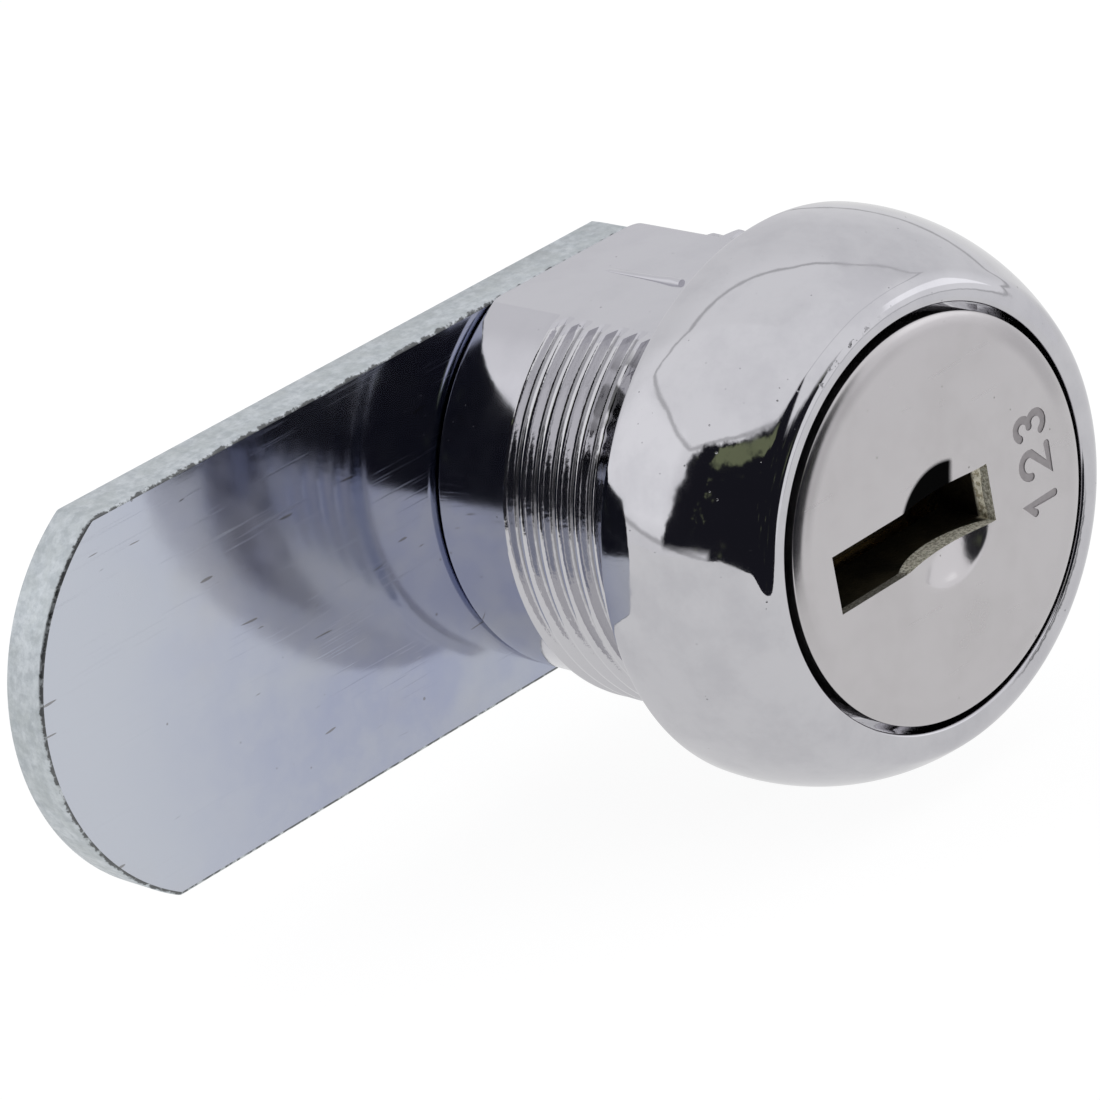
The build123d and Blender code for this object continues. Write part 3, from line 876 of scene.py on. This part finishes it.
def chrome_plate():
    """Bright chromium on a die casting: a clear mirror with a slight ripple, pits, a worn lip and painted
    dark reflections in blotches at the neck.
    """
    material, shader, place = metal("chrome_plate", 0.05)
    radius, station, clock = from_axis(place)
    film = use(place, "mottle", Scale=420.0, Low=0.38, High=0.72)
    rough_patch = use(place, "mottle", Scale=230.0, Low=0.42, High=0.55)
    pits = use(place, "specks", Spacing=2700.0, Size=0.13) * rough_patch
    ragged = noise(place, 2600.0, 3.0, 0.65)
    worn = between(ragged * 0.5 + radius, 9.1, 9.3, 0.08) * ramp(ragged, 0.55, 0.62)
    worn *= between(clock, -32, -12, 8)
    scar = between(ragged * 0.25 + radius, 8.56, 8.64, 0.05) * between(clock, 108, 160, 8)
    edge_marks = maths("MAXIMUM", worn, scar) * ramp(station, -5.5, -6.0)
    # Painted dark reflection: dark blotches on one side of the neck, over the rough plating that the bump
    # below gives it.
    dark_reflection_blotches = between(station, 0.3, 1.5, 0.15) * between(clock, -82, -50, 5)
    dark_reflection_blotches *= ramp(noise(place, 1300.0, 1.0), 0.46, 0.52)
    marks = maths("MAXIMUM", pits * 0.6, maths("MAXIMUM", edge_marks, dark_reflection_blotches))
    behind_head = ramp(station, 0.1, 0.3)
    neck = behind_head * ramp(station, 2.0, 1.5) * ramp(noise(place, 420.0, 1.0), 0.4, 0.55)
    colour = blend(film, (0.605, 0.60, 0.628), (0.55, 0.545, 0.575))
    colour = blend(behind_head * 0.5, colour, (0.53, 0.525, 0.57))
    colour = blend(marks * 0.8, colour, (0.06, 0.06, 0.065))
    finish(shader, colour, film * 0.06 + behind_head * 0.06 + marks * 0.35 + 0.03)
    wrinkles = noise(place, 1100.0, 2.0, 0.6) * neck
    bump(shader, (noise(place, 700.0), 0.006), (ragged, 0.0006), (marks, -0.006), (wrinkles, 0.45))
    return material


def thread_chrome():
    """The same plating on the thread, grainy, with painted shade in the roots, and rough at its first turn
    with painted dark reflections in blotches.
    """
    material, shader, place = metal("thread_chrome", 0.12)
    radius, station, clock = from_axis(place)
    grain = noise(place, 2200.0, 3.0, 0.6)
    torn = between(station, 1.2, 2.5, 0.2) * between(clock, -64, -37, 5)
    lumps = noise(place, 800.0, 1.0)
    # Painted dark reflection: dark blotches over the rough first turn.
    dark_reflection_blotches = torn * ramp(lumps, 0.43, 0.55)
    # Painted shade: the thread is darkened in its roots.
    root_shade = ramp(grain * 0.08 + radius, ROOT_RADIUS + 0.1, ROOT_RADIUS + 0.04)
    colour = blend(root_shade * 0.4, (0.62, 0.615, 0.64), (0.2, 0.2, 0.21))
    colour = blend(dark_reflection_blotches * 0.9, colour, (0.05, 0.05, 0.05))
    finish(shader, colour, root_shade * 0.1 + 0.1)
    bump(shader, (grain, 0.012), (torn * lumps, 0.3))
    return material


def cast_bore():
    """The plated casting where it is dull inside the bore."""
    material, shader, place = metal("cast_bore", 0.4)
    film = use(place, "mottle", Scale=500.0, Low=0.3, High=0.7)
    finish(shader, blend(film, (0.3, 0.3, 0.31), (0.2, 0.2, 0.2)),
           ramp(film, 0.0, 1.0, 0.35, 0.55))
    bump(shader, (noise(place, 1800.0, 3.0), 0.01))
    return material


def satin_stainless():
    """The face: pale satin steel with rubbing marks over painted shade near the rim, dots of dirt, shinier
    in the dish, and with painted shade in black on the dish's upper-left wall.
    """
    material, shader, place = metal("satin_stainless", 0.28, Specular_IOR_Level=0.0)
    x, y, z = axes(place)
    radius, _, clock = from_axis(place)
    sunk = ramp(y, (FACE_Y + 0.004) * MM, (FACE_Y + 0.03) * MM)
    dish = sunk * ramp(radius, 3.6, 3.4)
    # Painted shade: the dish's upper-left wall is made black and not metallic.
    dish_shade = dish * ramp(z, 0.9 * MM, 1.1 * MM) * ramp(x, 1.2 * MM, 0.9 * MM)
    # Painted shade near the rim on two sides, mixed with real rubbing marks.
    side = maths("MAXIMUM", between(clock, -72, -8, 12), between(clock, 38, 75, 10))
    rubbed_and_shaded = between(radius, 7.2, 7.9, 0.25) * ramp(noise(place, 260.0, 1.0), 0.3, 0.6, 0.3, 1.0)
    rubbed_and_shaded *= side * 0.28 + 0.04
    dirt = use(place, "specks", Spacing=1500.0, Size=0.1)
    hairs = use(place, "fine_scratches", Scale=1.0, Density=0.6)
    stain = use(place, "mottle", Scale=330.0, Low=0.4, High=0.75)
    colour = blend(stain, (0.58, 0.562, 0.573), (0.55, 0.532, 0.54))
    colour = blend(rubbed_and_shaded, colour, (0.22, 0.21, 0.22))
    colour = blend(dirt * 0.55, colour, (0.14, 0.13, 0.12))
    colour = blend(dish_shade, colour, (0.004, 0.004, 0.004))
    join(1.0 - dish_shade, shader.inputs["Metallic"])
    shine = sunk * 0.03 + dish * 0.08
    finish(shader, colour, 0.22 - shine + stain * 0.06 + hairs * 0.1)
    bump(shader, (noise(place, 5200.0, 3.0), 0.0012), (hairs, -0.0006))
    return material


def sheared_steel():
    """The torn, grainy edge that a punch leaves through the sheet."""
    material, shader, place = metal("sheared_steel", 0.5, Metallic=0.35)
    grain = noise(place, 8000.0, 3.0, 0.7)
    x, y, _ = axes(place)
    # Painted shade: the cut walls darken towards the keyway's left end.
    keyway_shade = ramp(x + grain * (1.2 * MM), -1.2 * MM, -1.9 * MM)
    colour = blend(ramp(grain, 0.38, 0.6), (0.42, 0.39, 0.29), (0.95, 0.92, 0.80))
    colour = blend(keyway_shade * 0.85, colour, (0.05, 0.045, 0.035))
    finish(shader, colour, ramp(grain, 0.3, 0.7, 0.5, 0.3))
    bump(shader, (y / MM - FACE_Y, 0.7), (grain, 0.12))
    return material


def stamped_floor():
    """The floor of the stamped figures, duller and greyer than the face."""
    material, shader, place = metal("stamped_floor", 0.5)
    grain = noise(place, 6500.0, 3.0, 0.7)
    colour = blend(grain, (0.34, 0.32, 0.33), (0.42, 0.40, 0.41))
    finish(shader, colour, ramp(grain, 0.3, 0.7, 0.42, 0.6))
    bump(shader, (grain, 0.004))
    return material


def zinc_plate():
    """Blue bright zinc on the cam: a soft mirror with rolling lines, scratches, nicks, light stains and a
    painted reflection that lightens it towards the tip.
    """
    material, shader, place = metal("zinc_plate", 0.12)
    x = axes(place)[0]
    hairs = use(place, "fine_scratches", Scale=1.5, Density=1.0)
    haze = use(place, "mottle", Scale=620.0, Low=0.4, High=0.65)
    specks = use(place, "specks", Spacing=1300.0, Size=0.1)
    cloud = use(place, "mottle", Scale=160.0, Low=0.35, High=0.7)
    warm = use(place, "mottle", Scale=95.0, Low=0.5, High=0.75)
    rolled = noise(stretched(place, (60, 1, 1900)), 1.0, 2.0)
    nicks = ramp(noise(stretched(place, (800, 800, 5200), (0.3, 1.1, 0)), 1.0, 0.0), 0.83, 0.86)
    marks = maths("MAXIMUM", specks * 0.6, nicks * 0.7)
    colour = blend(cloud, (0.42, 0.455, 0.60), (0.49, 0.52, 0.61))
    colour = blend(haze * 0.2, colour, (0.58, 0.60, 0.64))
    # Painted reflection: the cam is lighter towards its tip.
    colour = blend(ramp(x, -14 * MM, -29 * MM), colour, (0.60, 0.63, 0.70))
    colour = blend(warm * 0.35, colour, (0.56, 0.55, 0.53))
    colour = blend(marks, colour, (0.2, 0.19, 0.18))
    finish(shader, colour, cloud * 0.06 + hairs * 0.1 + 0.07)
    bump(shader, (noise(place, 520.0), 0.004), (rolled, 0.0008), (hairs, -0.0005), (marks, -0.002))
    return material


def zinc_edge():
    """The cam's stamped edge: duller, speckled, with a dark ragged burr line along the front face."""
    material, shader, place = metal("zinc_edge", 0.4)
    station = from_axis(place)[1]
    streak = noise(stretched(place, (2600, 260, 2600)), 1.0, 3.0, 0.6)
    ragged = noise(place, 2400.0, 3.0, 0.7)
    blotch = use(place, "mottle", Scale=900.0, Low=0.4, High=0.65)
    burr = ramp(ragged * 0.5 + station, CAM_FRONT_Y + 0.33, CAM_FRONT_Y + 0.26)
    colour = blend(ramp(ragged, 0.3, 0.7), (0.49, 0.53, 0.56), (0.66, 0.70, 0.73))
    colour = blend(blotch * 0.4, colour, (0.44, 0.48, 0.48))
    colour = blend(burr * 0.85, colour, (0.09, 0.09, 0.09))
    finish(shader, colour, ramp(streak, 0.3, 0.7, 0.3, 0.5))
    bump(shader, (streak, 0.005), (ragged, 0.02))
    return material


def zinc_part():
    """Bright zinc on the small turned and pressed parts at the back."""
    material, shader, place = metal("zinc_part", 0.25)
    cloud = use(place, "mottle", Scale=480.0, Low=0.35, High=0.7)
    specks = use(place, "specks", Spacing=1300.0, Size=0.09)
    colour = blend(cloud, (0.50, 0.53, 0.60), (0.54, 0.55, 0.57))
    colour = blend(specks * 0.5, colour, (0.2, 0.19, 0.17))
    finish(shader, colour, ramp(cloud, 0.0, 1.0, 0.2, 0.34))
    bump(shader, (noise(place, 1500.0, 3.0), 0.004))
    return material


def brass(name, bright, dark, roughness, grain_scale, depth):
    """Cast or stamped brass, darker where it is stained."""
    material, shader, place = metal(name, roughness)
    stain = use(place, "mottle", Scale=600.0, Low=0.35, High=0.7)
    grain = noise(place, grain_scale, 3.0, 0.6)
    colour = blend(stain, bright, dark)
    finish(shader, colour, ramp(grain, 0.3, 0.7, roughness - 0.08, roughness + 0.08))
    bump(shader, (grain, depth))
    return material


def keyway_brass():
    """The plug's cast brass: painted near black as shade inside the keyway, worn bright by the key on the
    keyway's end wall.
    """
    material, shader, place = metal("keyway_brass", 0.45, Metallic=0.6)
    x, y, _ = (axis / MM for axis in axes(place))
    grain = noise(place, 4200.0, 3.0, 0.7)
    worn = ramp(x, KEYWAY[1] - 0.25, KEYWAY[1] - 0.05) * ramp(y, WORN_END_Y, WORN_END_Y - 0.2)
    chamfer = worn * (y - WORN_END_Y)
    stain = use(place, "mottle", Scale=600.0, Low=0.35, High=0.7)
    # Painted shade: the plug's brass is made near black, as it is seen only in the keyway's shade.
    dark = blend(stain, (0.06, 0.05, 0.03), (0.02, 0.018, 0.012))
    bare = blend(ramp(grain, 0.4, 0.56), (0.45, 0.40, 0.27), (1.0, 0.96, 0.8))
    finish(shader, blend(worn, dark, bare), ramp(grain, 0.3, 0.7, 0.38, 0.52))
    bump(shader, (chamfer, 0.9), (grain, 0.05))
    return material


def spring_wire():
    """Drawn spring wire with fine lines round it."""
    material, shader, place = metal("spring_wire", 0.22)
    lines = noise(stretched(place, (4000, 700, 700)), 1.0, 2.0)
    finish(shader, blend(lines, (0.42, 0.42, 0.43), (0.55, 0.55, 0.56)),
           ramp(lines, 0.3, 0.7, 0.18, 0.3))
    bump(shader, (lines, 0.001))
    return material


# The studio: a pale tent with a dark opening round the camera, and a white floor


def edge_line(azimuth, points):
    """The elevation of a line round the studio, through points of azimuth and elevation in degrees."""
    curve = node(azimuth.tree, "ShaderNodeFloatCurve", {"Value": azimuth / 360 + 0.5})
    draw_curve(curve, [(a / 360 + 0.5, e / 180 + 0.5) for a, e in points])
    for point in curve.mapping.curves[0].points:
        point.handle_type = "VECTOR"
    curve.mapping.update()
    return Value(curve.outputs[0]) * 180.0 - 90.0


def tent_light(tree):
    """What the metal sees: a pale tent with a seam, a bright panel each side and a dark front."""
    place = result(tree, "ShaderNodeTexCoord", output="Generated")
    x, y, z = axes(place)
    azimuth = maths("DEGREES", maths("ARCTAN2", x, y * -1.0))
    elevation = maths("DEGREES", maths("ARCSINE", z))
    uneven = noise(place, 9.0, 3.0, 0.65)
    ragged = uneven * 9.0 - 4.5
    rim = edge_line(azimuth, (
        (-180, 57), (180, 57), (-168, 55), (-158, 48), (-152, 43), (-127, 43), (-101, 37), (-86, 43),
        (-61, 48), (-34, 54), (-21, 57), (40, 52), (70, 38), (86, 34), (102, 52), (129, 59)))
    horizon = edge_line(azimuth, (
        (-180, 6), (180, 6), (-135, 7), (-106, 3), (-89, 0), (29, -30), (70, 0), (109, 5), (135, 5)))
    above_rim = elevation - rim
    above_horizon = elevation - horizon
    left_edge = elevation * 0.26 - 108.0
    above_table = ramp(elevation, 0.0, 4.0)
    front = maths("MAXIMUM", between(azimuth, -86.0, 29.0, 2.0), above_table)
    slanting = azimuth * 0.62 + elevation
    curtain = ramp(slanting + ragged, 14.0, 22.0) * ramp(azimuth, -16.0, -10.0)
    opening = between(azimuth + ragged, left_edge, 29.0, 1.2) * ramp(above_rim + ragged, 0.0, -2.5)
    opening *= front * (1.0 - curtain)
    behind = maths("MAXIMUM", ramp(azimuth, 60.0, 95.0), ramp(azimuth, -158.0, -172.0))
    behind *= ramp(elevation, 60.0, 42.0, 0.4, 1.0)
    cloth_level = behind * -0.13 + 0.98
    level = ramp(above_horizon, -1.0, 1.0, 1.0, 0.0) * (0.86 - cloth_level) + cloth_level
    left_panel = between(azimuth, -152, -106, 3) * between(elevation, 8, 41, 3)
    right_panel = between(azimuth, 38, 60, 1) * between(elevation, -3, 15, 1)
    level += left_panel * 0.09 + right_panel * 0.35
    seams = maths("MINIMUM", maths("ABSOLUTE", above_rim), maths("ABSOLUTE", above_horizon))
    level *= ramp(seams, 0.2, 1.4, 0.62, 1.0)
    cloth = scaled((0.985, 0.985, 1.0), level)
    band = between(above_rim, -11, -3, 2) * between(azimuth, -86, -44, 4)
    lamp = between(azimuth, 22, 26, 1.5) * between(elevation, 0, 4, 1.5)
    patch = maths("MAXIMUM", band, lamp) * 0.34 + uneven
    gloom = blend(ramp(patch, 0.62, 0.8), (0.012, 0.012, 0.017), (0.17, 0.19, 0.11))
    return blend(opening, cloth, gloom)


def make_world():
    world = bpy.data.worlds.new("studio")
    bpy.context.scene.world = world
    world.use_nodes = True
    tree = world.node_tree
    seen = result(tree, "ShaderNodeLightPath", output="Is Camera Ray")
    join(blend(seen, tent_light(tree), (1, 1, 1)), tree.nodes["Background"].inputs["Color"])


def make_floor():
    """A white table under the lock, which keeps a faint shadow and looks pale grey to metal."""
    material = bpy.data.materials.new("table")
    material.use_nodes = True
    tree = material.node_tree
    tree.nodes.remove(tree.nodes["Principled BSDF"])
    level = result(tree, "ShaderNodeLightPath", output="Is Camera Ray") * 0.22 + 0.86
    glow = result(tree, "ShaderNodeEmission", {"Color": (1, 1, 1, 1), "Strength": level})
    cloth = result(tree, "ShaderNodeBsdfDiffuse", {"Color": (0.9, 0.9, 0.9, 1)})
    mixed = result(tree, "ShaderNodeMixShader", {0: 0.15, 1: glow, 2: cloth})
    join(mixed, tree.nodes["Material Output"].inputs["Surface"])
    table_z = cad_low.z / MM - TABLE_GAP
    front_x, front_y = TABLE_FRONT
    sides = (-TABLE_REACH, TABLE_REACH)
    corners = [(x, front_y + TABLE_SKEW * (x - front_x), table_z) for x in sides]
    corners += [(x, TABLE_REACH, table_z) for x in reversed(sides)]
    piece("table", corners, [(0, 1, 2, 3)], material)


def show(made, body, slot, *nodes):
    """Hand a finished piece to its body and hide the CAD nodes it stands for. The slot is not used."""
    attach(made, body)
    if nodes:
        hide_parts(*nodes)


def repaint(name, material):
    """Give a CAD node that stays in view its finish."""
    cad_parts[name].data.materials.clear()
    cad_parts[name].data.materials.append(material)


make_camera()
make_world()
make_floor()

show(casting(chrome_plate(), thread_chrome(), cast_bore()), "housing", "chrome_casting", "housing")
show(face_cap(satin_stainless(), sheared_steel(), stamped_floor()), "plug", "satin_stainless", "plug_cap")
show(cam_plate(zinc_plate(), zinc_edge()), "plug", "zinc_plated_steel", "cam")

small_zinc = zinc_part()
show(lock_washer(small_zinc), "plug", "zinc_plated_steel", "lock_washer")
show(wafer_springs(spring_wire()), "plug", "spring_steel", *SPRINGS)
for name in ("stop_washer", "cam_screw"):
    repaint(name, small_zinc)
repaint("plug", keyway_brass())
wafer_brass = brass("stamped_brass", (0.62, 0.46, 0.20), (0.42, 0.30, 0.13), 0.3, 3000.0, 0.004)
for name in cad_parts:
    if name.startswith("wafer") and name not in SPRINGS:
        repaint(name, wafer_brass)

bpy.context.scene.view_settings.view_transform = "Standard"
